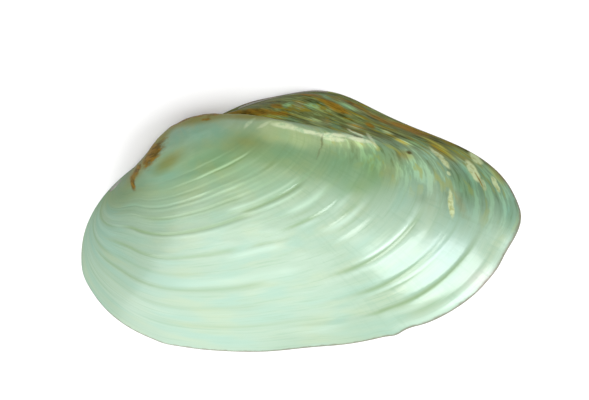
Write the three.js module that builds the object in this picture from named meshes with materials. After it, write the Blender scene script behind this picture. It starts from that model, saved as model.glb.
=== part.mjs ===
// Clam shell: the left valve of a large freshwater pearl clam, polished down to its pearly layer.
// It lies on its rim with the hollow side down. Millimetres, +Z up. The rim is in the plane z = 0 and the
// origin is under the middle of the valve. +X points to the hind end and -Y to the free (ventral) edge.
// Places on the valve are given by a bearing round the rim, in degrees anticlockwise from +X, and either a
// turn about the hinge or a growth line, both in radians. Both are 0 at the rim and grow towards the beak.
// A growth line is named by its turn at the free edge, and lags behind that turn at the front and the slope.
import * as THREE from 'three';

// Outline of the rim: its distance from its centre at equally spaced bearings, anticlockwise from +X. The
// centre lies a little off the origin, because the origin is in the middle of the whole valve's box.
const RIM_CENTRE = new THREE.Vector2(-0.57, 0.13);
const RIM_RADII = [
  74.8, 61.5, 49.9, 46.6, 46.2, 44.1, 44.6, 45.6, 51.8, 64.0,
  74.3, 72.8, 62.6, 52.2, 46.5, 44.5, 47.0, 52.8, 62.3, 72.3,
];

// Small corners and chips of the present rim, which older rims lose: place, half width and height.
const RIM_DETAILS = [
  { bearing: 354, halfWidth: 4, height: 0.9 },
  { bearing: 344, halfWidth: 4.5, height: -1.2 },
  { bearing: 336, halfWidth: 4, height: -0.4 },
  { bearing: 309, halfWidth: 3.5, height: -0.6 },
  { bearing: 303, halfWidth: 2.5, height: 0.6 },
  { bearing: 217, halfWidth: 3, height: 0.4 },
  { bearing: 188, halfWidth: 4, height: 0.5 },
];
const RIM_DETAILS_LAST_LINE = 0.12;

// Growth spiral: every older rim is the present one, turned about the hinge line and drawn in to the beak.
const BEAK = new THREE.Vector2(-36, 35);
const HINGE_BEARING = 24.1;
const SHRINK_PER_RADIAN = 1.266;
const HIND_GAIN = 0.288;
const LAST_TURN = 2.8;

// Growth rests: the growth line at which growth paused, and the height of the lip left there.
const GROWTH_RESTS = [
  { line: 0.075, lip: 0.3 },
  { line: 0.14, lip: 0.3 },
  { line: 0.215, lip: 0.45 },
  { line: 0.385, lip: 0.5 },
  { line: 0.53, lip: 0.6 },
  { line: 0.61, lip: 0.35 },
  { line: 0.69, lip: 0.4 },
  { line: 0.81, lip: 0.45 },
  { line: 1.0, lip: 0.3 },
];
const LIP_RISE = 0.026;
const LIP_FADE = 0.06;

// Growth lines crowd together at the front of the valve and over its hind slope, and older lines less so.
const CLOSEST_LINES = 0.12;
const FRONT = { crowded: 163, free: 203 };
const HIND_SLOPE = { free: 5, crowded: 88 };
const CROWDING_ENDS = { from: 0.3, to: 1.6 };

// Forms that stand out from the spiral: the fold of the posterior ridge, and the fullness of the umbo.
const RIDGE = { bearing: 4, halfWidth: 7, height: 0.9, rises: 0.15, fadesFrom: 0.85, fadesTo: 1.25 };
const SWELLS = [
  { bearing: 222, line: 2, halfWidth: 60, halfLines: 0.35, height: -0.8 },
  { bearing: 176, line: 1.1, halfWidth: 14, halfLines: 0.35, height: 0.7 },
  { bearing: 350, line: 1.3, halfWidth: 26, halfLines: 0.4, height: 0.6 },
];

// The hind slope stands higher than the spiral, as a low wing between the ridge and the ligament.
const WING = { bearing: 58, halfWidth: 26, height: 4.2, rises: 0.12, fadesFrom: 0.45, fadesTo: 0.85 };

// Wall and hinge plate, measured inwards from the outside in the plane of each older rim.
const WALL_WIDTH = 2.6;
const HINGE_PLATE = { width: 6, bearing: 118, halfSpread: 34 };

// The hollow reaches up under the umbo to its last turn, where it ends in a small rounded pocket.
const HOLLOW_CENTRE = new THREE.Vector2(-4, -3);
const HOLLOW_LAST_TURN = 1.6;
const POCKET_ROWS = [
  { deeper: 0.07, size: 0.8 },
  { deeper: 0.12, size: 0.4 },
];
const POCKET_END = 0.138;

// Hinge teeth stand between sockets sunk into the hinge plate, so nothing reaches below the rim.
const STUB_TEETH = { from: 137, to: 163, bearings: [145, 155], halfWidth: 2.4, depth: 3 };
const LONG_TEETH = { from: 74, to: 124, grooves: 3, depth: 1.6 };
const SOCKET_END = 5;

// Muscle scars, sunk into the inside near each end.
const MUSCLE_SCARS = [
  { bearing: 178, turn: 0.34, halfWidth: 9, halfTurn: 0.13, depth: 0.6 },
  { bearing: 8, turn: 0.42, halfWidth: 12, halfTurn: 0.16, depth: 0.35 },
];

// Facets: points round each rim, closer together near the hinge, and rows over each stretch of the skin.
const POINTS_ROUND = 80;
const CROWDING = 0.35;
const CROWDED_BEARING = 140;
const WIDEST_STEP = 0.13;
const PLATE_ROWS = 6;
const HOLLOW_ROWS = 11;

// Steps, in degrees and radians, for finding the skin's slope, and the least sine that isn't taken for 0.
const SLOPE_STEP = 0.01;
const LEAST_SINE = 1e-9;

const inRadians = THREE.MathUtils.degToRad;
const { clamp, lerp, smoothstep } = THREE.MathUtils;

// Difference between two bearings, from -180 to 180 degrees.
function bearingGap(bearing, other) {
  return THREE.MathUtils.euclideanModulo(bearing - other + 180, 360) - 180;
}

// A bump of height 1 that falls away over the given half width.
function bump(distance, halfWidth) {
  return Math.exp(-((distance / halfWidth) ** 2));
}

// 1 between two bearings, easing to 0 over SOCKET_END degrees outside them.
function stretch(bearing, { from, to }) {
  return smoothstep(bearing, from - SOCKET_END, from) * (1 - smoothstep(bearing, to, to + SOCKET_END));
}

// The rim's radii joined by trigonometric interpolation, which is smooth all the way round.
function rimRadius(bearing) {
  const count = RIM_RADII.length;
  let radius = 0;
  RIM_RADII.forEach((known, index) => {
    const half = inRadians(bearing - (360 * index) / count) / 2;
    const onKnown = Math.abs(Math.sin(half)) < LEAST_SINE;
    radius += known * (onKnown ? 1 : Math.sin(count * half) / (count * Math.tan(half)));
  });
  return radius;
}

function rimPoint(bearing, outwards = 0) {
  const angle = inRadians(bearing);
  return new THREE.Vector2(Math.cos(angle), Math.sin(angle))
    .multiplyScalar(rimRadius(bearing) + outwards)
    .add(RIM_CENTRE);
}

// Where a point of the present rim's plane was when the valve was younger: drawn in to the beak by
// e^(-shrink * turn), more strongly behind the beak than in front, and turned about the hinge line.
function grownBack(point, turn) {
  const alongHinge = new THREE.Vector2(1, 0).rotateAround(new THREE.Vector2(), inRadians(HINGE_BEARING));
  const acrossHinge = new THREE.Vector2(alongHinge.y, -alongHinge.x);
  const offset = point.clone().sub(BEAK);
  const behind = offset.dot(alongHinge) / offset.length();
  const size = Math.exp(-SHRINK_PER_RADIAN * (1 + HIND_GAIN * behind) * turn);
  const reach = size * offset.dot(acrossHinge);
  const place = BEAK.clone()
    .addScaledVector(alongHinge, size * offset.dot(alongHinge))
    .addScaledVector(acrossHinge, reach * Math.cos(turn));
  return new THREE.Vector3(place.x, place.y, reach * Math.sin(turn));
}

// How closely the growth lines lie: 1 over most of the valve, less at the front and the hind slope.
function lineSpacing(bearing) {
  const front = smoothstep(bearing, FRONT.crowded, FRONT.free);
  const slope = 1 - smoothstep(bearing, HIND_SLOPE.free, HIND_SLOPE.crowded);
  return lerp(CLOSEST_LINES, 1, Math.max(front, slope));
}

// Turn at which a growth line crosses a bearing.
function turnOfLine(bearing, line) {
  return line * lerp(lineSpacing(bearing), 1, smoothstep(line, CROWDING_ENDS.from, CROWDING_ENDS.to));
}

// The skin without its swells: the rim of that age, turned about the hinge line.
function spiralSkin(bearing, line) {
  let detail = 0;
  for (const { bearing: at, halfWidth, height } of RIM_DETAILS) {
    detail += height * bump(bearingGap(bearing, at), halfWidth);
  }
  const young = 1 - smoothstep(line, 0, RIM_DETAILS_LAST_LINE);
  return grownBack(rimPoint(bearing, detail * young), turnOfLine(bearing, line));
}

function outwardNormal(bearing, line) {
  const round = spiralSkin(bearing + SLOPE_STEP, line).sub(spiralSkin(bearing - SLOPE_STEP, line));
  const older = spiralSkin(bearing, line + SLOPE_STEP).sub(spiralSkin(bearing, line - SLOPE_STEP));
  return round.cross(older).normalize();
}

// Each rest left a lip: it rises steeply on its young side and fades away on its old side.
function lipHeight(line) {
  let height = 0;
  for (const rest of GROWTH_RESTS) {
    const older = line - rest.line;
    height += rest.lip * smoothstep(older, 0, LIP_RISE) * Math.exp(-Math.max(0, older - LIP_RISE) / LIP_FADE);
  }
  return height;
}

// Height of a long form: a bump across it, rising from the rim and fading out towards the umbo.
function formHeight(form, bearing, turn) {
  const across = bump(bearingGap(bearing, form.bearing), form.halfWidth);
  return form.height * across * smoothstep(turn, 0, form.rises)
    * (1 - smoothstep(turn, form.fadesFrom, form.fadesTo));
}

function outsidePoint(bearing, line) {
  const turn = turnOfLine(bearing, line);
  let raised = lineSpacing(bearing) ** 2 * lipHeight(line) + formHeight(RIDGE, bearing, turn);
  for (const swell of SWELLS) {
    const across = bump(bearingGap(bearing, swell.bearing), swell.halfWidth);
    raised += swell.height * across * bump(line - swell.line, swell.halfLines);
  }
  const point = spiralSkin(bearing, line).addScaledVector(outwardNormal(bearing, line), raised);
  point.z = Math.max(0, point.z + formHeight(WING, bearing, turn));
  return point;
}

// The inside follows the outside, moved in towards the middle of each older rim by the wall's width.
function insidePoint(bearing, turn) {
  const middle = grownBack(HOLLOW_CENTRE, turn);
  const plate = HINGE_PLATE.width * bump(bearingGap(bearing, HINGE_PLATE.bearing), HINGE_PLATE.halfSpread);
  const wall = WALL_WIDTH + plate * Math.exp(-SHRINK_PER_RADIAN * turn);
  let scars = 0;
  for (const { bearing: at, turn: height, halfWidth, halfTurn, depth } of MUSCLE_SCARS) {
    scars += depth * bump(bearingGap(bearing, at), halfWidth) * bump(turn - height, halfTurn);
  }
  const point = grownBack(rimPoint(bearing), turn);
  const inward = middle.sub(point).normalize();
  return point.addScaledVector(inward, wall - scars);
}

// The rest face: the flat rim, widening to the hinge plate. Across runs from 0 outside to 1 inside.
function facePoint(bearing, across) {
  const point = outsidePoint(bearing, 0).lerp(insidePoint(bearing, 0), across);
  let teeth = 0;
  for (const tooth of STUB_TEETH.bearings) teeth += bump(bearing - tooth, STUB_TEETH.halfWidth);
  const sockets = Math.sin(Math.PI * across) ** 2 * (1 - clamp(teeth, 0, 1));
  const grooves = Math.sin(LONG_TEETH.grooves * Math.PI * across) ** 2;
  const deepest = Math.max(
    STUB_TEETH.depth * stretch(bearing, STUB_TEETH) * sockets,
    LONG_TEETH.depth * stretch(bearing, LONG_TEETH) * grooves,
  );
  point.z = deepest * (1 - across);
  return point;
}

// Bearings of the points round a rim, crowded together near the hinge.
function bearings() {
  return Array.from({ length: POINTS_ROUND }, (_, index) => {
    const even = (360 * index) / POINTS_ROUND;
    const shift = CROWDING * Math.sin(inRadians(even - CROWDED_BEARING));
    return THREE.MathUtils.euclideanModulo(even - THREE.MathUtils.radToDeg(shift), 360);
  });
}

// Growth lines of the outside's rows: two at each lip, and enough between them to keep the steps small.
function outsideLines() {
  const fixed = [0];
  for (const rest of GROWTH_RESTS) fixed.push(rest.line, rest.line + LIP_RISE);
  fixed.push(LAST_TURN);
  const lines = [0];
  for (let index = 1; index < fixed.length; index += 1) {
    const [last, next] = [fixed[index - 1], fixed[index]];
    const steps = Math.ceil((next - last) / WIDEST_STEP);
    for (let step = 1; step <= steps; step += 1) lines.push(lerp(last, next, step / steps));
  }
  return lines;
}

// Closed skin through rows of points, from one end point to the other.
function closedSkin(firstEnd, rows, lastEnd) {
  const count = rows[0].length;
  const points = [firstEnd, ...rows.flat(), lastEnd];
  const at = (row, column) => 1 + row * count + (column % count);
  const last = points.length - 1;
  const faces = [];
  for (let column = 0; column < count; column += 1) {
    faces.push(0, at(0, column), at(0, column + 1));
    for (let row = 0; row < rows.length - 1; row += 1) {
      const [a, b] = [at(row, column), at(row, column + 1)];
      const [c, d] = [at(row + 1, column + 1), at(row + 1, column)];
      faces.push(a, d, b, b, d, c);
    }
    faces.push(at(rows.length - 1, column), last, at(rows.length - 1, column + 1));
  }
  const geometry = new THREE.BufferGeometry().setFromPoints(points);
  geometry.setIndex(faces);
  geometry.computeVertexNormals();
  return geometry;
}

// The valve: from the beak over the outside to the rim, across the rest face, and up into the hollow.
function valveGeometry() {
  const round = bearings();
  const rows = [];
  for (const line of outsideLines().reverse()) rows.push(round.map((bearing) => outsidePoint(bearing, line)));
  for (let row = 1; row < PLATE_ROWS; row += 1) {
    rows.push(round.map((bearing) => facePoint(bearing, row / PLATE_ROWS)));
  }
  for (let row = 0; row <= HOLLOW_ROWS; row += 1) {
    const turn = (HOLLOW_LAST_TURN * row) / HOLLOW_ROWS;
    rows.push(round.map((bearing) => insidePoint(bearing, turn)));
  }
  const lastMiddle = grownBack(HOLLOW_CENTRE, HOLLOW_LAST_TURN);
  for (const pocket of POCKET_ROWS) {
    const middle = grownBack(HOLLOW_CENTRE, HOLLOW_LAST_TURN + pocket.deeper);
    rows.push(round.map((bearing) => {
      const fromMiddle = insidePoint(bearing, HOLLOW_LAST_TURN).sub(lastMiddle);
      return middle.clone().addScaledVector(fromMiddle, pocket.size);
    }));
  }
  const outsideEnd = grownBack(HOLLOW_CENTRE, LAST_TURN);
  const pocketEnd = grownBack(HOLLOW_CENTRE, HOLLOW_LAST_TURN + POCKET_END);
  return closedSkin(outsideEnd, rows, pocketEnd);
}

const nacre = new THREE.MeshStandardMaterial({ color: 0xbfe0cd, roughness: 0.3, metalness: 0 });

const valve = new THREE.Mesh(valveGeometry(), nacre);
valve.name = 'valve';

const clamShell = new THREE.Group();
clamShell.name = 'clam_shell';
clamShell.add(valve);

export default clamShell;
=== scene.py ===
# Clam shell: the left valve of a large freshwater pearl clam, polished down to its mother of pearl. It lies
# on its rim, hollow side down. +X points to the hind end, -Y to the free edge and +Z up, in metres.
import math

import bpy
import numpy as np
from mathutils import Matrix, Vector


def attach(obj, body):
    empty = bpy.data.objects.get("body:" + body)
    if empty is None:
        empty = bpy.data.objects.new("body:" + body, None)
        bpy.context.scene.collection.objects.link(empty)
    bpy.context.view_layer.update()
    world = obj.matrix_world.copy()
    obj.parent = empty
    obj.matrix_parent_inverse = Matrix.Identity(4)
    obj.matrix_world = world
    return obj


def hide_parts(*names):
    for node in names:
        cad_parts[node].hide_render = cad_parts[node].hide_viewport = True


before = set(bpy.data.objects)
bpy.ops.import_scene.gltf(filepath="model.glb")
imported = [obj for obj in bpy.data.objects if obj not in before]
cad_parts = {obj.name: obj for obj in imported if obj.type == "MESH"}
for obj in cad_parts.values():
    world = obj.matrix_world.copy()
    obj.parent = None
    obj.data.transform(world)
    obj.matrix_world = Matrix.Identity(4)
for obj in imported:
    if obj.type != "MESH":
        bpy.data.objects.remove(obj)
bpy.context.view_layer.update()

# The valve. A clam lays down its shell at the rim, line by line, and the rim widens in a log spiral about the
# hinge. Here it is one closed skin: out from the beak over the polished outside, round the rim, across the
# hinge plate with its teeth, and up into the hollow. Places are bearings round the rim, in degrees from +X.
mm = 0.001
RIM_CENTRE = np.array([-0.57, 0.13]) * mm
RIM_RADII = np.array([  # at every 18 degrees from +X
    74.8, 61.5, 49.9, 46.6, 46.2, 44.1, 44.6, 45.6, 51.8, 64.0,
    74.3, 72.8, 62.6, 52.2, 46.5, 44.5, 47.0, 52.8, 62.3, 72.3,
]) * mm
RIM_DETAILS = [  # bearing, half width in degrees, height: corners and chips of the present rim
    (354, 4, 0.9 * mm), (344, 4.5, -1.2 * mm), (336, 4, -0.4 * mm), (309, 3.5, -0.6 * mm),
    (303, 2.5, 0.6 * mm), (217, 3, 0.4 * mm), (188, 4, 0.5 * mm),
]
RIM_DETAILS_LAST_LINE = 0.12  # the oldest growth line that has them
BEAK = np.array([-36, 35]) * mm
HINGE_BEARING = math.radians(24.1)
ALONG_HINGE = np.array([math.cos(HINGE_BEARING), math.sin(HINGE_BEARING)])
ACROSS_HINGE = np.array([ALONG_HINGE[1], -ALONG_HINGE[0]])
SHRINK_PER_RADIAN = 1.266  # growth of the spiral for each radian that the rim turned about the hinge
HIND_GAIN = 0.288  # how much more it grew behind the beak than in front of it
LAST_LINE = 2.8
CLOSEST_LINES = 0.12
FRONT_CROWDS = (163, 203)  # bearings over which the growth lines spread out at the front
SLOPE_CROWDS = (5, 88)  # and over which they draw together up the hind slope
CROWDING_ENDS = (0.3, 1.6)  # growth lines over which the crowding fades
SLOPE_STEP = 0.01
NEARLY_ZERO = 1e-9


def ease(value, low, high):
    """0 below low and 1 above high, joined by the smooth cubic 3t^2 - 2t^3."""
    part = np.clip((value - low) / (high - low), 0, 1)
    return part * part * (3 - 2 * part)


def bump(distance, half_width):
    """A bell of height 1: e to the minus (distance / half width) squared."""
    return np.exp(-((distance / half_width) ** 2))


def gap(bearing, other):
    """Difference between two bearings, from -180 to 180 degrees."""
    return (bearing - other + 180) % 360 - 180


def rim_point(bearing, outwards=0.0):
    """Point of the rim in its plane: the known radii joined by trigonometric interpolation. A radius weighs
    sin(count * half) / (count * tan(half)), where half is half the angle to it, and 1 at its own bearing."""
    count = len(RIM_RADII)
    half = np.radians(bearing[..., None] - 360 * np.arange(count) / count) / 2
    on_known = np.abs(np.sin(half)) < NEARLY_ZERO
    safe = np.where(on_known, 1.0, half)
    weight = np.where(on_known, 1.0, np.sin(count * safe) / (count * np.tan(safe)))
    radius = (weight * RIM_RADII).sum(-1) + outwards
    angle = np.radians(bearing)
    return RIM_CENTRE + radius[..., None] * np.stack([np.cos(angle), np.sin(angle)], -1)


def grown_back(point, turn):
    """Where a point of the rim's plane was when the valve was younger: its offset from the beak times
    e^(-shrink * turn), more behind the beak than in front of it, and turned about the hinge line."""
    offset = point - BEAK
    along = offset @ ALONG_HINGE
    across = offset @ ACROSS_HINGE
    size = np.exp(-SHRINK_PER_RADIAN * (1 + HIND_GAIN * along / np.hypot(along, across)) * turn)
    level = BEAK + (size * along)[..., None] * ALONG_HINGE
    level = level + (size * across * np.cos(turn))[..., None] * ACROSS_HINGE
    return np.concatenate([level, (size * across * np.sin(turn))[..., None]], -1)


def line_spacing(bearing):
    """How closely the growth lines lie: 1 over most of the valve, less at the front and the hind slope."""
    front = ease(bearing, *FRONT_CROWDS)
    slope = 1 - ease(bearing, *SLOPE_CROWDS)
    return CLOSEST_LINES + (1 - CLOSEST_LINES) * np.maximum(front, slope)


def turn_of_line(bearing, line):
    """Turn at which a growth line crosses a bearing. Old lines crowd less than young ones."""
    spacing = line_spacing(bearing)
    return line * (spacing + (1 - spacing) * ease(line, *CROWDING_ENDS))


def spiral_skin(bearing, line):
    """The skin without its relief: the rim of that age, grown back by its turn."""
    detail = sum(height * bump(gap(bearing, at), width) for at, width, height in RIM_DETAILS)
    young = 1 - ease(line, 0, RIM_DETAILS_LAST_LINE)
    return grown_back(rim_point(bearing, detail * young), turn_of_line(bearing, line))


def outward(bearing, line):
    """Outward normal of the skin: the cross product of its slopes round the rim and towards the beak."""
    round_rim = spiral_skin(bearing + SLOPE_STEP, line) - spiral_skin(bearing - SLOPE_STEP, line)
    older = spiral_skin(bearing, line + SLOPE_STEP) - spiral_skin(bearing, line - SLOPE_STEP)
    normal = np.cross(round_rim, older)
    return normal / np.linalg.norm(normal, axis=-1, keepdims=True)


# Relief of the outside. Growth rested now and then, and each rest left a lip that is steep on its young side
# and fades out on its old side, with a groove before it. Finer strokes of growth, pale and raised or dark and
# sunk, run along a growth line for part of its way round. In the finish the pale ones get a painted highlight
# and the dark ones a brown tone with painted shade.
GROWTH_RESTS = [  # growth line, height of the lip, bearing where it is strongest, half spread in degrees
    (0.025, 0.14 * mm, 330, 22), (0.071, 0.30 * mm, 320, 42), (0.114, 0.16 * mm, 322, 34),
    (0.136, 0.26 * mm, 324, 36), (0.175, 0.07 * mm, 330, 50), (0.210, 0.28 * mm, 328, 34),
    (0.230, 0.12 * mm, 230, 55), (0.300, 0.08 * mm, 310, 50), (0.352, 0.14 * mm, 325, 30),
    (0.385, 0.15 * mm, 235, 60), (0.405, 0.18 * mm, 318, 30), (0.455, 0.12 * mm, 322, 30),
    (0.512, 0.22 * mm, 245, 60), (0.540, 0.24 * mm, 308, 34), (0.590, 0.08 * mm, 240, 60),
    (0.610, 0.16 * mm, 265, 70), (0.660, 0.12 * mm, 270, 60), (0.690, 0.12 * mm, 240, 70),
    (0.745, 0.07 * mm, 260, 70), (0.806, 0.15 * mm, 280, 46), (0.880, 0.05 * mm, 280, 80),
    (1.000, 0.10 * mm, 265, 100), (1.110, 0.05 * mm, 265, 100), (1.260, 0.06 * mm, 265, 100),
]
LIP_RISE = 0.010
LIP_FADE = 0.045
GROOVE = (0.5, 0.006)  # depth as a share of the lip, half width in growth lines
# Pale strokes carry a painted highlight along raised lines, dark ones a brown tone with painted shade.
STROKES = [  # growth line, half width in lines, first and last bearing, pale above 0 and dark below
    (0.807, 0.005, 244, 322, 0.9), (0.700, 0.006, 232, 262, 0.7), (0.672, 0.008, 255, 300, 0.4),
    (0.607, 0.020, 200, 286, -0.55), (0.640, 0.010, 262, 312, 0.35), (0.562, 0.007, 258, 332, 0.9),
    (0.534, 0.008, 268, 332, -1.0), (0.515, 0.005, 288, 328, 0.8), (0.512, 0.013, 190, 282, -0.9),
    (0.490, 0.012, 210, 300, 0.3), (0.465, 0.011, 298, 338, 0.9), (0.438, 0.006, 296, 326, -0.4),
    (0.408, 0.007, 288, 326, -0.8), (0.396, 0.006, 298, 320, 0.8), (0.392, 0.007, 318, 338, 1.0),
    (0.386, 0.012, 186, 262, -0.65), (0.379, 0.006, 260, 292, -0.5), (0.360, 0.008, 318, 338, -0.8),
    (0.356, 0.012, 244, 292, 0.5), (0.345, 0.008, 308, 340, 0.9), (0.330, 0.006, 312, 345, -0.3),
    (0.305, 0.009, 188, 240, -0.25), (0.262, 0.020, 215, 290, 0.3), (0.235, 0.011, 182, 268, -0.6),
    (0.222, 0.006, 306, 348, 0.7), (0.209, 0.007, 296, 348, -0.9), (0.196, 0.005, 300, 340, 0.5),
    (0.160, 0.010, 200, 262, -0.25), (0.134, 0.007, 296, 344, -0.9), (0.124, 0.004, 300, 342, 0.6),
    (0.116, 0.004, 300, 340, -0.5), (0.090, 0.009, 205, 290, -0.3), (0.071, 0.007, 294, 348, -1.0),
    (0.050, 0.006, 300, 330, 0.4), (0.036, 0.006, 306, 334, -0.5), (0.012, 0.008, 300, 336, 0.6),
    (0.440, 0.020, 166, 202, 0.2), (0.580, 0.020, 166, 198, 0.2), (0.330, 0.016, 168, 200, 0.2),
    (0.500, 0.018, 164, 198, -0.5), (0.290, 0.014, 168, 200, -0.4),
]
STROKE_END = 14  # degrees over which a stroke fades out
STROKE_HEIGHT = 0.06 * mm
RIDGE = (4, 7, 0.9 * mm, 0.15, 0.85, 1.25)  # bearing, half width, height, turns where it rises and fades
SWELLS = [  # bearing, line, half width, half lines, height: the fullness of the umbo
    (222, 2.0, 60, 0.35, -0.8 * mm), (176, 1.1, 14, 0.35, 0.7 * mm), (350, 1.3, 26, 0.4, 0.6 * mm),
]
WING = (58, 26, 4.2 * mm, 0.12, 0.45, 0.85)  # the same of the hind slope, between ridge and ligament
WAVES = [  # waves per radian of growth, turns of phase round the valve, height
    (34, 1.0, 0.035 * mm), (57, -2.0, 0.025 * mm), (91, 3.0, 0.014 * mm),
]
WAVE_SWAY = 2
WAVES_FULL = 0.03  # growth line from which the waves have their full height


def lip_height(bearing, line):
    """Sum of the lips: a quick rise past each rest, then a fade e^(-distance / fade) towards the beak, less a
    bell-shaped groove on the young side."""
    height = 0
    depth, width = GROOVE
    for rest, lip, strongest, spread in GROWTH_RESTS:
        older = line - rest
        fade = np.exp(-np.maximum(0, older - LIP_RISE) / LIP_FADE)
        profile = ease(older, 0, LIP_RISE) * fade - depth * bump(older + width, width)
        height = height + lip * bump(gap(bearing, strongest), spread) * profile
    return height


def strokes(bearing, line):
    """Strength of the pale strokes and of the dark ones: a bell across each line, eased at both ends."""
    pale, dark = 0, 0
    for at, half_width, first, last, strength in STROKES:
        along = ease(bearing, first, first + STROKE_END) * (1 - ease(bearing, last - STROKE_END, last))
        one = abs(strength) * along * bump(line - at, half_width)
        if strength > 0:
            pale = np.maximum(pale, one)
        else:
            dark = np.maximum(dark, one)
    return pale, dark


def long_form(form, bearing, turn):
    """A long form: a bell across it, rising from the rim and fading out towards the umbo."""
    at, width, height, rises, fades_from, fades_to = form
    lasting = ease(turn, 0, rises) * (1 - ease(turn, fades_from, fades_to))
    return height * bump(gap(bearing, at), width) * lasting


def outside_skin(bearing, line):
    """The outside: the spiral skin, moved along its normal by the relief, with the wing lifted upright."""
    turn = turn_of_line(bearing, line)
    around = np.radians(bearing)
    waves = sum(h * np.sin(n * line + WAVE_SWAY * np.sin(shift * around)) for n, shift, h in WAVES)
    pale, dark = strokes(bearing, line)
    fine = lip_height(bearing, line) + waves * ease(line, 0, WAVES_FULL) + STROKE_HEIGHT * (pale - dark)
    raised = line_spacing(bearing) ** 2 * fine
    raised = raised + long_form(RIDGE, bearing, turn)
    for at, at_line, width, lines, height in SWELLS:
        raised = raised + height * bump(gap(bearing, at), width) * bump(line - at_line, lines)
    point = spiral_skin(bearing, line) + raised[..., None] * outward(bearing, line)
    point[..., 2] = np.maximum(0, point[..., 2] + long_form(WING, bearing, turn))
    return point


# The inside follows the outside at the wall's thickness. The hinge plate widens the rim under the umbo, with
# stub teeth in front and long teeth behind, and two muscles left smooth scars.
WALL = 2.6 * mm
HINGE_PLATE = (118, 34, 6 * mm)  # bearing, half spread, added width
HOLLOW_CENTRE = np.array([-4, -3]) * mm
HOLLOW_LAST_TURN = 1.6
POCKET_ROWS = [(0.07, 0.8), (0.12, 0.4)]  # deeper by that turn, and that share of the last row's size
POCKET_END = 0.138  # how much deeper the end point lies, in turn
STUB_TEETH = (137, 163)
STUB_BEARINGS = (145, 155)
STUB_HALF_WIDTH = 2.4
STUB_DEPTH = 3 * mm
LONG_TEETH = (74, 124)
LONG_GROOVES = 3
LONG_DEPTH = 1.6 * mm
SOCKET_END = 5
MUSCLE_SCARS = [(178, 0.34, 9, 0.13, 0.6 * mm), (8, 0.42, 12, 0.16, 0.35 * mm)]
FREE_EDGE_STARTS = (170, 200)
FREE_EDGE_ENDS = (340, 358)
PALLIAL_BORDER = (0.02, 0.17)
PALLIAL_LINE = (0.17, 0.19)
PALLIAL_STEP = 0.22 * mm


def free_edge(bearing):
    """1 along the free edge, where the mantle was fixed, easing to 0 at its front and its hind end."""
    return ease(bearing, *FREE_EDGE_STARTS) * (1 - ease(bearing, *FREE_EDGE_ENDS))


def inside_skin(bearing, turn):
    """The inside: each older rim, moved in towards its middle by the wall less the scars and the mantle's
    line, which runs round the hollow a little way in from the rim."""
    at, spread, width = HINGE_PLATE
    wall = WALL + width * bump(gap(bearing, at), spread) * np.exp(-SHRINK_PER_RADIAN * turn)
    sunk = 0
    for at, height, half_width, half_turn, depth in MUSCLE_SCARS:
        sunk = sunk + depth * bump(gap(bearing, at), half_width) * bump(turn - height, half_turn)
    border = ease(turn, *PALLIAL_BORDER) * (1 - ease(turn, *PALLIAL_LINE))
    sunk = sunk + PALLIAL_STEP * free_edge(bearing) * border
    point = grown_back(rim_point(bearing), turn)
    inward = grown_back(np.broadcast_to(HOLLOW_CENTRE, point[..., :2].shape), turn) - point
    inward = inward / np.linalg.norm(inward, axis=-1, keepdims=True)
    return point + (wall - sunk)[..., None] * inward


def stretch(bearing, ends):
    """1 between two bearings, easing to 0 over the socket end outside them."""
    low, high = ends
    return ease(bearing, low - SOCKET_END, low) * (1 - ease(bearing, high, high + SOCKET_END))


def rest_face(bearing, across):
    """The flat rim and hinge plate, from 0 at the outside to 1 at the inside. Sockets and grooves are
    squared sines across it, shallower towards the inside."""
    outer = outside_skin(bearing, np.zeros_like(bearing))
    inner = inside_skin(bearing, np.zeros_like(bearing))
    teeth = sum(bump(bearing - tooth, STUB_HALF_WIDTH) for tooth in STUB_BEARINGS)
    sockets = np.sin(np.pi * across) ** 2 * (1 - np.clip(teeth, 0, 1))
    grooves = np.sin(LONG_GROOVES * np.pi * across) ** 2
    deepest = np.maximum(
        STUB_DEPTH * stretch(bearing, STUB_TEETH) * sockets,
        LONG_DEPTH * stretch(bearing, LONG_TEETH) * grooves,
    )
    point = outer + across[..., None] * (inner - outer)
    point[..., 2] = deepest * (1 - across)
    return point


# The skin's grid. Rows follow the growth lines, most of them over the young part of the valve, where the
# relief is sharpest, and columns are bearings, closer together near the hinge.
COLUMNS = 320
CROWDING = 0.35  # radians
CROWDED_BEARING = 140
YOUNG_ROWS = 215
YOUNG_LINE = 0.9
OLD_ROWS = 34
OLD_CROWDING = 1.15
EDGE_STEPS = np.array([0.25, 0.5, 0.75])
EDGE_LINE = 0.004
EDGE_INWARD = 0.06
PLATE_ROWS = 14
HOLLOW_ROWS = 40
HOLLOW_CROWDING = 1.2


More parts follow.
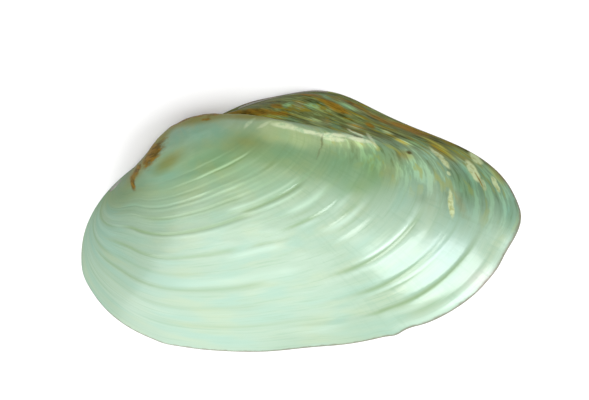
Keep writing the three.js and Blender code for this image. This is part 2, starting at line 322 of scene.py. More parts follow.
def valve_rows():
    """Rows of points from the beak to the hollow's end, and beside each point its bearing, its growth line,
    and how far across the rest face it lies: 0 on the outside and 1 in the hollow. The rim's edge is the
    curve (1-t)^2 outside + 2t(1-t) corner + t^2 rest face."""
    even = 360 * np.arange(COLUMNS) / COLUMNS
    shift = np.degrees(CROWDING * np.sin(np.radians(even - CROWDED_BEARING)))
    bearing = (even - shift) % 360
    young = np.linspace(EDGE_LINE, YOUNG_LINE, YOUNG_ROWS)
    old = YOUNG_LINE + (LAST_LINE - YOUNG_LINE) * np.linspace(0, 1, OLD_ROWS + 1)[1:] ** OLD_CROWDING
    lines = np.concatenate([young, old])[::-1]
    bearings, outside_lines = np.meshgrid(bearing, lines)
    outside = outside_skin(bearings, outside_lines)

    across = np.linspace(0, 1, PLATE_ROWS + 1)[:-1]
    across[0] = EDGE_INWARD
    face_bearings, face_across = np.meshgrid(bearing, across)
    face = rest_face(face_bearings, face_across)
    corner = outside_skin(bearing, np.zeros_like(bearing))
    step = EDGE_STEPS[:, None, None]
    edge = (1 - step) ** 2 * outside[-1] + 2 * step * (1 - step) * corner + step ** 2 * face[0]

    turns = HOLLOW_LAST_TURN * np.linspace(0, 1, HOLLOW_ROWS + 1) ** HOLLOW_CROWDING
    hollow_bearings, hollow_turns = np.meshgrid(bearing, turns)
    hollow = inside_skin(hollow_bearings, hollow_turns)
    last_middle = grown_back(HOLLOW_CENTRE, HOLLOW_LAST_TURN)
    pocket = []
    for deeper, size in POCKET_ROWS:
        middle = grown_back(HOLLOW_CENTRE, HOLLOW_LAST_TURN + deeper)
        pocket.append(middle + size * (hollow[-1] - last_middle))
    rows = np.concatenate([outside, edge, face, hollow, np.array(pocket)])

    line = np.concatenate([
        outside_lines, np.zeros_like(edge[..., 0]), np.zeros_like(face_across), hollow_turns,
        np.full((len(pocket), COLUMNS), HOLLOW_LAST_TURN),
    ])
    inner = np.concatenate([
        np.zeros(len(outside) + len(edge)), across, np.ones(len(hollow) + len(pocket)),
    ])
    return rows, np.broadcast_to(bearing, line.shape), line, np.broadcast_to(inner[:, None], line.shape)


def closed_skin(name, rows, first_end, last_end):
    """Mesh of a closed skin: quads between neighbouring rows, and a fan of triangles at each end point."""
    count, width = rows.shape[:2]
    index = 1 + np.arange(count * width).reshape(count, width)
    beside = np.roll(index, -1, 1)
    quads = np.stack([index[:-1], index[1:], beside[1:], beside[:-1]], -1).reshape(-1, 4)
    last = 1 + count * width
    first_fan = np.stack([np.zeros(width, int), index[0], beside[0]], -1)
    last_fan = np.stack([index[-1], np.full(width, last), beside[-1]], -1)
    points = np.concatenate([[first_end], rows.reshape(-1, 3), [last_end]])
    mesh = bpy.data.meshes.new(name)
    mesh.from_pydata(points.tolist(), [], first_fan.tolist() + quads.tolist() + last_fan.tolist())
    mesh.polygons.foreach_set("use_smooth", np.ones(len(mesh.polygons), bool))
    return mesh


rows, bearings, lines, across = valve_rows()
valve_mesh = closed_skin(
    "valve_skin", rows, grown_back(HOLLOW_CENTRE, LAST_LINE),
    grown_back(HOLLOW_CENTRE, HOLLOW_LAST_TURN + POCKET_END),
)
valve = bpy.data.objects.new("pearl_valve", valve_mesh)
bpy.context.scene.collection.objects.link(valve)
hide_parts("valve")
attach(valve, "root")

# Finish of the valve. The mother of pearl is pale mint, greener over the umbo and teal at the hind end.
# Polishing left brown remains of the outer skin along the hinge side, and cut through to buff layers behind.


class Shade:
    """One socket of a material's nodes. Python's operators on it add Math nodes."""

    def __init__(self, finish, socket):
        self.finish = finish
        self.socket = socket

    def maths(self, operation, first, second):
        return self.finish.add("ShaderNodeMath", {"operation": operation}, [first, second])

    def __add__(self, other):
        return self.maths("ADD", self, other)

    def __radd__(self, other):
        return self.maths("ADD", other, self)

    def __sub__(self, other):
        return self.maths("SUBTRACT", self, other)

    def __rsub__(self, other):
        return self.maths("SUBTRACT", other, self)

    def __mul__(self, other):
        return self.maths("MULTIPLY", self, other)

    def __rmul__(self, other):
        return self.maths("MULTIPLY", other, self)

    def larger(self, other):
        return self.maths("MAXIMUM", self, other)

    def eased(self, low, high, bottom=0.0, top=1.0):
        """From bottom to top as the value goes from low to high, by the smooth cubic."""
        return self.finish.add(
            "ShaderNodeMapRange", {"interpolation_type": "SMOOTHSTEP"}, [self, low, high, bottom, top]
        )


class Finish:
    """A material and the one method that adds its nodes."""

    def __init__(self, name):
        self.material = bpy.data.materials.new(name)
        self.material.use_nodes = True
        self.tree = self.material.node_tree
        self.tree.nodes.clear()

    def add(self, kind, settings=None, sockets=(), output=0):
        """Adds a node: its settings first, then a value or a link for each socket, by place or by name."""
        node = self.tree.nodes.new(kind)
        for name, value in (settings or {}).items():
            setattr(node, name, value)
        for place, value in dict(sockets if isinstance(sockets, dict) else enumerate(sockets)).items():
            if isinstance(value, Shade):
                self.tree.links.new(value.socket, node.inputs[place])
            else:
                node.inputs[place].default_value = value
        return Shade(self, node.outputs[output]) if node.outputs else None

    def attribute(self, name, output="Color"):
        return self.add("ShaderNodeAttribute", {"attribute_name": name}, output=output)

    def parts(self, kind, source, names):
        """The named parts of a colour or a vector, each a value."""
        return [self.add(kind, {}, [source], name) for name in names]

    def mixed(self, mask, under, over):
        """Colour that goes from under to over as the mask goes from 0 to 1."""
        return self.add(
            "ShaderNodeMix", {"data_type": "RGBA"}, {0: mask, 6: colour(under), 7: colour(over)}, output=2
        )

    def laid(self, under, pattern, layer, share=None):
        """Colour with a layer over it: its limits ease the pattern into a cover, which a share may weaken."""
        limits, over = layer
        cover = pattern.eased(*limits)
        return self.mixed(cover if share is None else cover * share, under, over)

    def vector(self, operation, first, second, output="Vector"):
        return self.add("ShaderNodeVectorMath", {"operation": operation}, [first, second], output)

    def noise(self, place, scale, detail=3.0, roughness=0.5, output="Fac"):
        sockets = {"Vector": place, "Scale": scale, "Detail": detail, "Roughness": roughness}
        return self.add("ShaderNodeTexNoise", {}, sockets, output)

    def pattern(self, place, stretch, detail, roughness, output="Fac"):
        """A noise over a place that is first stretched."""
        return self.noise(self.vector("MULTIPLY", place, stretch), 1.0, detail, roughness, output)


def colour(value):
    """A colour for a socket: three parts get a fourth, and a link stays as it is."""
    return (*value, 1.0) if isinstance(value, tuple) and len(value) == 3 else value


def patch(finish, place, x, y, half_length, half_width, heading):
    """How far a point lies inside a long patch: 1 at its middle and 0 at its edge, an ellipse turned to its
    heading in the plan, in millimetres and degrees."""
    inside = finish.add("ShaderNodeMapping", {"vector_type": "TEXTURE"}, {
        "Vector": place, "Location": (x * mm, y * mm, 0),
        "Rotation": (0, 0, math.radians(heading)), "Scale": (half_length * mm, half_width * mm, 1),
    })
    return 1 - finish.vector("LENGTH", inside, (0, 0, 0), "Value")


def patches(finish, place, softness, shapes):
    """The nearest of several patches, each weakened by its strength."""
    total = None
    for *shape, strength in shapes:
        one = patch(finish, place, *shape).eased(-softness, softness, 0, strength)
        total = one if total is None else total.larger(one)
    return total


# Broad washes of colour over the mother of pearl. Each is a bell in the plan, so that none has an edge, and
# they are laid one over the other.
MINT = np.array([0.335, 0.46, 0.345])
WASHES = [  # colour, x, y, half length and half width in mm, strength
    ((0.20, 0.325, 0.14), -18, 17, 40, 15, 0.95),
    ((0.175, 0.30, 0.14), 24, 14, 28, 12, 0.9),
    ((0.20, 0.26, 0.09), -14, 24.5, 9, 4.2, 0.8),
    ((0.23, 0.42, 0.29), -30, 29.5, 8, 3.2, 0.75),
    ((0.23, 0.41, 0.29), -43, 16, 8, 3, 0.6),
    ((0.18, 0.28, 0.13), -60, 14, 9, 6, 0.8),
    ((0.15, 0.27, 0.09), 26, 9.5, 3.4, 5, 0.5),
    ((0.16, 0.28, 0.10), 20, 5, 4.5, 2.6, 0.5),
    ((0.105, 0.195, 0.10), 63, 5, 17, 16, 0.9),
    ((0.26, 0.30, 0.12), 31, 10, 3.4, 3, 0.55),
    ((0.27, 0.29, 0.15), 37, 15, 3, 2, 0.6),
    ((0.16, 0.23, 0.13), 41.5, -0.5, 2.6, 2, 0.45),
    ((0.11, 0.25, 0.16), 72, -7, 4, 8, 0.6),
    ((0.33, 0.50, 0.38), -66, 0, 9, 14, 0.5),
    # Painted highlight: the last two washes, pink and blue, are the iridescent tint of the gleam at the lower
    # hind end.
    ((0.52, 0.44, 0.43), 60, -28, 6, 3, 0.45),
    ((0.33, 0.47, 0.48), 46, -18, 9, 5, 0.35),
]
REACH = 5.9  # centimetres from the rim to the beak


def washes(points):
    """The mint base with each wash laid over it in turn, by a bell in x and y."""
    tint = np.broadcast_to(MINT, points.shape).copy()
    for hue, x, y, wide, deep, strength in WASHES:
        cover = strength * bump(points[..., 0] / mm - x, wide) * bump(points[..., 1] / mm - y, deep)
        tint += cover[..., None] * (np.array(hue) - tint)
    return tint


def grown_distance(value):
    """How far a growth line or a turn lies from the rim at the free edge, in centimetres: (1 - e^(-shrink *
    value)) * reach."""
    return (1 - np.exp(-SHRINK_PER_RADIAN * value)) * REACH


# Marks that polishing left, and painted light, as patches in the plan: x, y, half length and half width in
# mm, heading in degrees, strength. Bark is what remains of the brown outer skin, and buff, cream, rose and
# teal are cuts into deeper layers. The crest highlight is painted highlight along the ridge, and the crease
# shade is painted shade in its creases.
BARK = [
    (-11.4, 37.4, 6.4, 1.3, -9, 1.0), (-3.5, 35.6, 5.0, 0.6, -12, 0.9), (-22, 37.8, 6.8, 1.1, 12, 0.85),
    (-3.5, 38.6, 2.3, 1.0, -20, 1.0), (-1.2, 35.4, 2.4, 0.35, -24, 1.0), (16.4, 36.5, 6.2, 1.3, -36, 1.0),
    (24, 37, 5.2, 0.9, -34, 0.9), (31.5, 31, 5.4, 0.9, -34, 0.8), (41.4, 26.6, 9, 1.3, -26, 1.0),
    (8.5, 42, 4.8, 0.8, -12, 0.6), (27.7, 28.4, 2.2, 0.9, -36, 0.8),
    (-47, 25.8, 6.2, 2.9, 46, 1.0), (-52.9, 21.6, 4.2, 1.3, 56, 0.9), (-54.9, 17.6, 4.0, 0.9, -84, 0.95),
    (-36, 37.2, 4.6, 1.2, 15, 0.8), (-29.5, 37.8, 4.2, 1.1, -4, 0.8), (-27.5, 35, 1.8, 0.8, 0, 0.5),
    (62.3, 5.6, 5, 0.5, -70, 0.3),
]
BARK_FADE = 0.5  # how much smaller a patch of bark is when its strength is 0
FAINT_BARK = [
    (-42.2, 20.7, 4.8, 2.2, 31, 0.65), (-14, 35.6, 11, 2.4, -8, 0.7), (52, 15.2, 4, 1.2, -42, 0.5),
    (-31, 37.2, 11, 2.2, 4, 0.75), (-52.5, 21.5, 6, 2.0, 48, 0.6), (-45, 30, 5, 1.8, 48, 0.6),
    (69.2, 7.4, 4, 1.3, -60, 0.6), (58.5, 13.6, 4, 0.9, -30, 0.5), (-28, 35.4, 9, 1.9, 3, 0.65),
    (-13, 34.4, 8, 1.5, -8, 0.55), (-42, 32.8, 7, 1.6, 40, 0.55), (50.2, 18.6, 6, 1.2, -48, 0.95),
    (37.6, 15.6, 2.6, 1.3, -20, 0.55),
]
BUFF = [
    (49.6, 14.5, 4.9, 0.95, -56, 1.0), (51.7, 8.3, 1.1, 0.6, -60, 0.7), (51, -2.6, 4.6, 1.0, -91, 1.0),
    (60.7, 9.1, 4.4, 1.4, -66, 1.0), (62.5, 14, 3.2, 1.3, -48, 0.9), (68, 4, 3, 0.8, -72, 0.9),
    (63.4, 4, 2.4, 0.9, -78, 0.5),
]
# Painted highlight: light patches along the crest of the ridge, where it catches the lamps.
CREST_HIGHLIGHT = [
    (4.8, 26.5, 6.2, 0.8, -20, 0.75), (14.2, 24.0, 5.0, 0.9, -3, 0.9), (21.8, 22.4, 5.2, 1.1, -21, 0.9),
    (22.6, 24.8, 3.4, 0.45, -38, 0.8), (27.1, 21.7, 3.1, 0.6, -70, 0.45), (14.5, 22.4, 3.6, 0.8, -12, 0.7),
    (-13.3, 31.4, 2.4, 0.7, 48, 0.4), (-2.4, 29.4, 3.4, 1.0, -14, 0.6), (-8.5, 30.2, 2.2, 0.6, 30, 0.35),
]
CREAM = [
    (2, 25.5, 20, 4.5, -16, 0.35), (2.3, 25, 6, 2.4, -32, 0.6), (-4.7, 28.8, 6, 1.9, -12, 0.6),
    (-3, 25.5, 6.5, 1.8, -25, 0.5), (1.5, 22.2, 4, 1.6, -32, 0.35), (-6.5, 24.6, 4, 1.6, -20, 0.3),
    (-3.2, 30, 3.4, 1.1, -22, 0.9), (16, 21.8, 6, 2, -12, 0.6),
    (22.6, 20.6, 3.3, 1.2, -25, 0.85), (37.9, 21, 2.7, 0.9, -29, 0.8), (33.2, 25.2, 1.7, 0.6, -28, 0.8),
    (27.4, 19.6, 1.8, 0.9, -60, 0.5), (9.2, 31, 3, 1.0, -30, 0.4),
]
ROSE = [
    (15, 22, 2.1, 0.9, -23, 0.8), (22.5, 28.4, 2.5, 1.0, -19, 0.8), (4.4, 38.3, 2, 1.2, -34, 0.6),
    (54.3, -2.7, 5, 1.2, -72, 0.5), (14, 30, 3, 1.2, -40, 0.5),
]
TEAL = [
    (13.9, 40.8, 2.2, 1.0, -41, 0.9), (20.3, 36.6, 3.4, 0.8, -28, 0.9), (8.6, 37.5, 2.6, 1.2, 0, 0.7),
    (15.6, 28.4, 2.6, 1.6, -71, 0.8), (12.5, 26.2, 2.4, 1.1, -15, 0.8), (0.3, 32.7, 4.2, 1.0, -21, 0.9),
    (-0.3, 38.4, 2.8, 0.9, 22, 0.7), (38.9, 20.8, 5.4, 1.4, -18, 0.7), (56.1, 3.4, 4.8, 2.3, -58, 0.6),
    (30, 26.5, 4, 0.9, -36, 0.6), (45, 20.5, 4, 1.0, -36, 0.6), (56.5, 16.5, 3.2, 1.0, -36, 0.6),
]
# Painted shade: dark lines painted in the creases.
CREASE_SHADE = [
    (10.1, 21.8, 2.5, 0.32, -101, 0.5), (8.7, 18.1, 2.6, 0.32, -120, 0.35), (22.3, 23.6, 3, 0.25, -26, 0.7),
    (39, 16.5, 1.1, 0.7, -22, 1.0),
]
PAINTED = [  # colour, softness of the edge, patches
    ((0.26, 0.26, 0.12), 0.7, ROSE), ((0.15, 0.26, 0.12), 0.6, TEAL), ((0.44, 0.56, 0.27), 0.75, CREAM),
    ((0.24, 0.22, 0.03), 0.7, FAINT_BARK),
]
CRISP = [  # two colours that vary within the patch, softness of the edge, patches
    ((0.30, 0.34, 0.13), (0.48, 0.56, 0.31), 0.25, BUFF),
    ((0.48, 0.68, 0.40), (0.80, 0.88, 0.58), 0.5, CREST_HIGHLIGHT),
    ((0.07, 0.06, 0.015), (0.12, 0.11, 0.04), 0.6, CREASE_SHADE),
]
OLIVE = np.array([0.105, 0.12, 0.024])  # of the hind slope
OLIVE_COVER = 0.92
# Painted shade with a brown tone: the steep side behind the beak darkens by how squarely it faces away from
# the lamps.
SHADE_AND_BROWN = np.array([0.12, 0.095, 0.018])  # of the steep side behind the beak
SHADE_AND_BROWN_COVER = 0.8
SHADED_SIDE = np.array([-0.40, 0.92, 0])  # the way it faces, and how squarely at its edge
SHADE_EDGE = (0.70, 0.97)
DULL_SIDES = np.array([[-0.40, 0.92, 0], [0, 1, 0], [-0.75, 0.66, 0]])  # ways that unpolished skin faces
DULL_EDGE = (0.05, 0.45)

# Colours of the inside, which was never ground: silvery mother of pearl with a play of colour, duller scars
# and mantle's border, a cream hinge plate, and the brown edge of the outer skin at the rim.
NACRE = np.array([0.50, 0.55, 0.49])
LINING = [  # colour, bearing, half spread in degrees, turn, half turns, strength
    ((0.60, 0.47, 0.45), 300, 55, 0.40, 0.16, 0.65), ((0.36, 0.55, 0.52), 340, 34, 0.22, 0.20, 0.7),
    ((0.42, 0.56, 0.42), 205, 36, 0.45, 0.30, 0.6), ((0.62, 0.56, 0.42), 250, 60, 0.95, 0.35, 0.5),
    ((0.40, 0.52, 0.56), 270, 40, 0.70, 0.12, 0.45), ((0.56, 0.45, 0.47), 30, 30, 0.60, 0.25, 0.5),
    ((0.46, 0.50, 0.30), 110, 50, 1.30, 0.40, 0.5),
]
SCAR_TONE = np.array([0.33, 0.31, 0.24])
SCAR_COVER = 0.8
SCAR_EDGE = (0.25, 0.5)
BORDER_TONE = np.array([0.40, 0.40, 0.30])
BORDER_COVER = 0.35
PLATE_TONE = np.array([0.46, 0.45, 0.36])
PLATE_COVER = 0.7
RIM_TONE = np.array([0.12, 0.07, 0.03])
RIM_COVER = 0.9
RIM_COVER_LOST = 0.6  # share of it that the hinge plate hides
RIM_FADES = (0.15, 0.6)  # shares of the way across the rim


def lining(bearing, turn, across):
    """The inside's colours: each play of colour a bell in bearing and turn, then the scars, the mantle's
    border, the hinge plate and the brown outer layer at the rim."""
    tint = np.broadcast_to(NACRE, bearing.shape + (3,)).copy()
    covers = [
        (np.array(hue), strength * bump(gap(bearing, at), spread) * bump(turn - height, tall))
        for hue, at, spread, height, tall, strength in LINING
    ]
    for at, height, half_width, half_turn, _ in MUSCLE_SCARS:
        scar = bump(gap(bearing, at), half_width) * bump(turn - height, half_turn)
        covers.append((SCAR_TONE, SCAR_COVER * ease(scar, *SCAR_EDGE)))
    covers.append((BORDER_TONE, BORDER_COVER * free_edge(bearing) * (1 - ease(turn, *PALLIAL_LINE))))
    at, spread, _ = HINGE_PLATE
    plate = bump(gap(bearing, at), spread)
    covers.append((PLATE_TONE, PLATE_COVER * plate * (across < 1)))
    covers.append((RIM_TONE, RIM_COVER * (1 - ease(across, *RIM_FADES)) * (1 - RIM_COVER_LOST * plate)))
    for hue, cover in covers:
        tint += cover[..., None] * (hue - tint)
    return tint


def inside_patch(points, x, y, half_length, half_width, heading):
    """How far points lie inside a patch of the plan: 1 - the length of (along / half length, across / half
    width), so 1 at its middle and 0 at its edge."""
    heading = math.radians(heading)
    east = points[..., 0] / mm - x
    north = points[..., 1] / mm - y
    along = east * math.cos(heading) + north * math.sin(heading)
    across = north * math.cos(heading) - east * math.sin(heading)
    return 1 - np.hypot(along / half_length, across / half_width)


def painted(points, slope, shade_and_brown):
    """The washes, then the slope's olive, then the hinge side's brown tone and painted shade, then each soft
    patch in turn.
    """
    tint = washes(points)
    tint += OLIVE_COVER * slope[..., None] * (OLIVE - tint)
    tint += SHADE_AND_BROWN_COVER * shade_and_brown[..., None] * (SHADE_AND_BROWN - tint)
    for hue, softness, shapes in PAINTED:
        for *shape, strength in shapes:
            cover = strength * ease(inside_patch(points, *shape), -softness, softness)
            tint += cover[..., None] * (np.array(hue) - tint)
    return tint


def keep(name, kind, field, *values):
    """Writes values of the grid's points, side by side, to an attribute of the valve's mesh. The two end
    points get those of their neighbours."""
    flat = np.concatenate(values, -1).reshape(-1, sum(value.shape[-1] for value in values))
    ends_added = np.concatenate([flat[:1], flat, flat[-1:]]).ravel()
    valve_mesh.attributes.new(name, kind, "POINT").data.foreach_set(field, ends_added)


# What each point of the skin knows of its place, for the finish: its bearing and distance from the rim, its
# colour and whether it is inside, how streaked it is, its strokes, its distance by turn, its bark, and how
# dull it is.
SLOPE_STARTS = (5, 15)  # bearings
SLOPE_ENDS = (120, 150)
SLOPE_OLDEST = (0.9, 1.3)  # turns
HIND_STARTS = (-18, 2)
HIND_ENDS = 120
HIND_OLDEST = (0.3, 0.7)
HIND_STREAKS = 0.55
outer = across == 0
turns = turn_of_line(bearings, lines)
slope = ease(bearings, *SLOPE_STARTS) * (1 - ease(bearings, *SLOPE_ENDS)) * (1 - ease(turns, *SLOPE_OLDEST))
from_hind = gap(bearings, 0)
hind = ease(from_hind, *HIND_STARTS) * (from_hind < HIND_ENDS) * (1 - ease(turns, *HIND_OLDEST))
streaked = np.maximum(slope, HIND_STREAKS * hind) * outer
pale, dark = (stroke * outer for stroke in strokes(bearings, lines))
facing = outward(bearings, lines)
# Painted shade with a brown tone, by how squarely each point faces away from the lamps.
shade_and_brown = ease(facing @ SHADED_SIDE, *SHADE_EDGE)
dull = np.maximum(slope, ease((facing @ DULL_SIDES.T).max(-1), *DULL_EDGE)) * outer
bark = np.max([inside_patch(rows, *shape) - BARK_FADE * (1 - strength) for *shape, strength in BARK], 0)
angles = np.radians(bearings)
growth = np.stack([np.cos(angles), np.sin(angles), grown_distance(lines)], -1)
regions = np.stack([streaked, pale, dark, grown_distance(turns)], -1)
tints = np.where(outer[..., None], painted(rows, slope, shade_and_brown), lining(bearings, lines, across))
keep("growth", "FLOAT_VECTOR", "vector", growth)
keep("tint", "FLOAT_COLOR", "color", tints, 1.0 - outer[..., None])
keep("regions", "FLOAT_COLOR", "color", regions)
keep("bark", "FLOAT", "value", np.maximum(bark, -1)[..., None])
keep("dull", "FLOAT", "value", dull[..., None])

# Patterns of the finish, all noises: stretch of the place they read, detail, roughness. Threads and bands
# follow the growth lines and rays cross them. Clouds are the play of colour, streaks and flecks lie on the
# unpolished slope, and tears fray the edges of the marks.
THREADS = ((2.2, 2.2, 26.0), 4.0, 0.62)
BANDS = ((1.6, 1.6, 4.2), 2.0, 0.5)
RAYS = ((34.0, 34.0, 2.0), 3.0, 0.6)
CLOUDS = ((2.4, 2.4, 3.0), 2.0, 0.5)
STREAKS = ((4.4, 4.4, 9.0), 3.0, 0.6)
FLECKS = ((7.0, 7.0, 7.0), 2.0, 0.5)
TEARS = (230.0, 3.0, 0.55)  # scale, detail, roughness
TEAR_WIDTH = 2.0 * mm
DEPTHS = (420.0, 3.0, 0.6)  # how deep polishing cut, from place to place
NOISE_MIDDLE = 0.5

# Layers over the mother of pearl: the pattern's values where a layer begins and is full, its cover at both,
# and its colour as a factor of what lies under it. The bark's layers have colours of their own.
UNCHANGED = (1.0, 1.0, 1.0)
WARM_CLOUD = ((0.42, 0.70, 0, 1), (1.10, 1.02, 0.94))
COOL_CLOUD = ((0.42, 0.70, 0, 1), (0.91, 1.0, 1.04))
PALE_BAND = ((0.50, 0.75, 0, 0.8), (1.14, 1.10, 1.14))
DARK_THREAD = ((0.28, 0.50, 0.8, 0), (0.86, 0.91, 0.84))
PALE_THREAD = ((0.54, 0.75, 0, 0.5), (1.12, 1.09, 1.12))
DARK_RAY = ((0.35, 0.50, 0.5, 0), (0.86, 0.91, 0.88))
# Painted highlight along the raised lines, and a brown tone with painted shade along the sunk ones.
RAISED_LINE_HIGHLIGHT = (1.55, 1.50, 1.68)
RAISED_LINE_HIGHLIGHT_COVER = 0.75
SUNK_LINE_SHADE_AND_BROWN = (0.60, 0.66, 0.42)
SUNK_LINE_SHADE_AND_BROWN_COVER = 0.85
DARK_STREAK = (0.40, 0.38, 0.2)
PLAIN_STREAK = ((0.34, 0.46, 0, 1), UNCHANGED)
PALE_STREAK = ((0.50, 0.62, 0, 1), (1.9, 2.0, 2.0))
OCHRE_FLECK = ((0.54, 0.64, 0, 0.8), (1.7, 1.1, 0.2))
BLUE_FLECK = ((0.30, 0.40, 0.5, 0), (1.4, 1.9, 2.4))
DARK_BARK = (0.11, 0.070, 0.006)
PALE_BARK = ((0.40, 0.60, 0, 1), (0.27, 0.155, 0.014))
OCHRE_BARK = ((0.50, 0.62, 0, 1), (0.22, 0.15, 0.015))
BARK_TEARS = (1.5, 0.8)  # by the streaks and by the depths
BARK_EDGE = (-0.35, 0.45)
CUT_DEPTH = (0.30, 0.55)  # depths between which the colour of a cut brightens
RIM_LINE = ((0.05, 0.10, 0.65, 0), (0.13, 0.070, 0.035))  # by the distance from the rim
RIM_LINE_TEARS = 0.08
YOUNG_SKIN = (3.1, 4.1, 1.0, 0.25)  # distances from the rim over which the fine lines weaken, and how far
BRUSHED_END = (0.2, 0.8)  # cosines of the bearings, at the hind end, that polishing brushed across
RELIEF = 0.1 * mm
RELIEF_HEIGHTS = (0.4, 2.0, 0.3)  # of the threads, the bands and the rays


def pearl(name):
    """Mother of pearl: soft, with a polish as a thin coat, and a thin film that tints its gloss. Bark and the
    unpolished skin have a shader without coat and film."""
    finish = Finish(name)
    place = finish.add("ShaderNodeTexCoord", output="Object")
    growth_at = finish.attribute("growth", "Vector")
    tint = finish.attribute("tint")
    outside = 1 - finish.attribute("tint", "Alpha")
    region = finish.attribute("regions")
    streaked, raised_line_highlight, sunk_line_shade_and_brown = finish.parts(
        "ShaderNodeSeparateColor", region, ("Red", "Green", "Blue")
    )
    turned = finish.attribute("regions", "Alpha")
    dull = finish.attribute("dull", "Fac")
    cosine, sine, distance = finish.parts("ShaderNodeSeparateXYZ", growth_at, ("X", "Y", "Z"))
    along_hinge = finish.add("ShaderNodeCombineXYZ", {}, [cosine, sine, turned])

    threads = finish.pattern(growth_at, *THREADS)
    bands = finish.pattern(growth_at, *BANDS)
    streaks = finish.pattern(along_hinge, *STREAKS)
    flecks = finish.pattern(along_hinge, *FLECKS)
    rays = finish.pattern(growth_at, *RAYS)
    clouds = finish.pattern(growth_at, *CLOUDS, "Color")
    warm, cool = finish.parts("ShaderNodeSeparateColor", clouds, ("Red", "Green"))
    young = distance.eased(*YOUNG_SKIN)
    brushed = cosine.eased(*BRUSHED_END) * young

    hue = finish.laid(UNCHANGED, warm, WARM_CLOUD)
    hue = finish.laid(hue, cool, COOL_CLOUD)
    hue = finish.laid(hue, bands, PALE_BAND)
    hue = finish.laid(hue, threads, DARK_THREAD, young)
    hue = finish.laid(hue, threads, PALE_THREAD, young)
    hue = finish.laid(hue, rays, DARK_RAY, brushed)
    # The strokes: painted highlight on the pale ones, a brown tone with painted shade on the dark ones.
    hue = finish.mixed(raised_line_highlight * RAISED_LINE_HIGHLIGHT_COVER, hue, RAISED_LINE_HIGHLIGHT)
    hue = finish.mixed(sunk_line_shade_and_brown * SUNK_LINE_SHADE_AND_BROWN_COVER, hue, SUNK_LINE_SHADE_AND_BROWN)

    worn = finish.laid(DARK_STREAK, streaks, PLAIN_STREAK)
    worn = finish.laid(worn, streaks, PALE_STREAK)
    worn = finish.laid(worn, flecks, OCHRE_FLECK)
    worn = finish.laid(worn, flecks, BLUE_FLECK)
    skin = finish.vector("MULTIPLY", tint, finish.mixed(streaked, hue, worn))

    tears = finish.vector("SUBTRACT", finish.noise(place, *TEARS, "Color"), (NOISE_MIDDLE,) * 3)
    ragged = finish.vector("ADD", place, finish.vector("MULTIPLY", tears, (TEAR_WIDTH, TEAR_WIDTH, 0)))
    depth = finish.noise(place, *DEPTHS)
    # The crisp patches: buff cuts, painted highlight on the ridge's crest, and painted shade in the creases.
    for duller, brighter, softness, shapes in CRISP:
        cut = finish.mixed(depth.eased(*CUT_DEPTH), duller, brighter)
        skin = finish.mixed(patches(finish, ragged, softness, shapes) * outside, skin, cut)
    by_streaks, by_depth = BARK_TEARS
    torn = (streaks - NOISE_MIDDLE) * by_streaks + (depth - NOISE_MIDDLE) * by_depth
    brown = (finish.attribute("bark", "Fac") + torn).eased(*BARK_EDGE) * outside
    bark = finish.laid(DARK_BARK, streaks, PALE_BARK)
    bark = finish.laid(bark, flecks, OCHRE_BARK)
    skin = finish.mixed(brown, skin, bark)
    skin = finish.laid(skin, distance + depth * RIM_LINE_TEARS, RIM_LINE, outside)

    thread_height, band_height, ray_height = RELIEF_HEIGHTS
    height = threads * thread_height * young + bands * band_height + rays * ray_height * brushed
    relief = finish.add("ShaderNodeBump", {}, {"Strength": 1.0, "Distance": RELIEF, "Height": height})
    polished = finish.add("ShaderNodeBsdfPrincipled", {}, {
        "Base Color": skin,
        "Roughness": 0.26 + 0.12 * threads,
        "IOR": 1.53,
        "Normal": relief,
        "Coat Weight": 0.85 - 0.85 * dull,
        "Coat Roughness": 0.17,
        "Thin Film Thickness": 350.0,
        "Thin Film IOR": 1.48,
    })
    unpolished = finish.add("ShaderNodeBsdfPrincipled", {}, {
        "Base Color": skin,
        "Roughness": 0.38 + 0.2 * streaks,
        "Specular IOR Level": 0.08,
        "Normal": relief,
    })
    surface = finish.add("ShaderNodeMixShader", {}, [dull.larger(brown), polished, unpolished])
    finish.add("ShaderNodeOutputMaterial", {}, [surface])
    return finish.material


valve_mesh.materials.append(pearl("mother_of_pearl"))

# The floor: a plain pale sheet of paper under the valve, wide enough that its edge is out of sight. It lies a
# hair below the rim, so that the two never share a plane.
FLOOR_HALF = 3.0
FLOOR_DROP = 0.05 * mm
PAPER_WHITE = (0.97, 0.97, 0.97, 1)
PAPER_ROUGHNESS = 0.9
floor_mesh = bpy.data.meshes.new("floor")
corners = FLOOR_HALF * np.array([[-1, -1, 0], [1, -1, 0], [1, 1, 0], [-1, 1, 0]]) - [0, 0, FLOOR_DROP]
floor_mesh.from_pydata(corners.tolist(), [], [[0, 1, 2, 3]])
floor = bpy.data.objects.new("floor", floor_mesh)
bpy.context.scene.collection.objects.link(floor)
paper = bpy.data.materials.new("paper")
paper.use_nodes = True
paper.node_tree.nodes["Principled BSDF"].inputs["Base Color"].default_value = PAPER_WHITE
paper.node_tree.nodes["Principled BSDF"].inputs["Roughness"].default_value = PAPER_ROUGHNESS
floor_mesh.materials.append(paper)

# Light: soft round lamps on the right, in front and overhead, and a weak even light from all round. The right
# one is small enough to give the valve its long bright gleam.
LAMPS = [  # name, place, diameter, watts
    ("window_right", (0.67, -0.60, 0.80), 0.74, 9), ("window_front", (-0.6, -1.2, 1.0), 1.9, 19),
    ("ceiling", (-0.1, 0, 1.5), 1.8, 12.5),
]
ROOM_WHITE = (1, 1, 1, 1)
ROOM_STRENGTH = 0.2


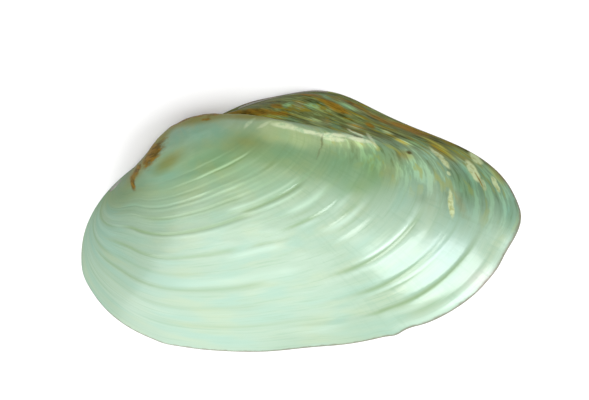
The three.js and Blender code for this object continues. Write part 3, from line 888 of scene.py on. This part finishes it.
def soft_lamp(name, place, size, watts):
    """Round area lamp at a place, facing the middle of the valve."""
    lamp = bpy.data.lights.new(name, "AREA")
    lamp.shape = "DISK"
    lamp.size = size
    lamp.energy = watts
    holder = bpy.data.objects.new(name, lamp)
    holder.location = place
    holder.rotation_euler = (-Vector(place)).to_track_quat("-Z", "Y").to_euler()
    bpy.context.scene.collection.objects.link(holder)


for lamp in LAMPS:
    soft_lamp(*lamp)
world = bpy.data.worlds.new("room")
world.use_nodes = True
world.node_tree.nodes["Background"].inputs["Color"].default_value = ROOM_WHITE
world.node_tree.nodes["Background"].inputs["Strength"].default_value = ROOM_STRENGTH
bpy.context.scene.world = world
bpy.context.scene.view_settings.view_transform = "Standard"

# Camera: above the valve and a little in front, looking down at 80 degrees. The small shift keeps the valve
# where the photograph has it, a little below and to the right of the picture's middle.
PICTURE = (589, 400)
AIM_PIXEL = (300, 225)
AIM = Vector((-0.119 * mm, -2.018 * mm, 0))
VALVE_TURN = 6.6  # degrees from level, in the picture
LOOK_BEARING = math.radians(90 - VALVE_TURN)
ELEVATION = math.radians(80)
DISTANCE = 582.5 * mm
FOCAL_PIXELS = 1700
SENSOR_WIDTH = 36
NEAREST_SEEN = 0.01
camera = bpy.data.objects.new("camera", bpy.data.cameras.new("camera"))
level_look = Vector((math.cos(LOOK_BEARING), math.sin(LOOK_BEARING), 0))
look = math.cos(ELEVATION) * level_look - math.sin(ELEVATION) * Vector((0, 0, 1))
camera.location = AIM - DISTANCE * look
camera.rotation_euler = look.to_track_quat("-Z", "Y").to_euler()
camera.data.sensor_width = SENSOR_WIDTH
camera.data.lens = FOCAL_PIXELS * SENSOR_WIDTH / PICTURE[0]
camera.data.shift_x = (PICTURE[0] / 2 - AIM_PIXEL[0]) / PICTURE[0]
camera.data.shift_y = (AIM_PIXEL[1] - PICTURE[1] / 2) / PICTURE[0]
camera.data.clip_start = NEAREST_SEEN
bpy.context.scene.collection.objects.link(camera)
bpy.context.scene.camera = camera
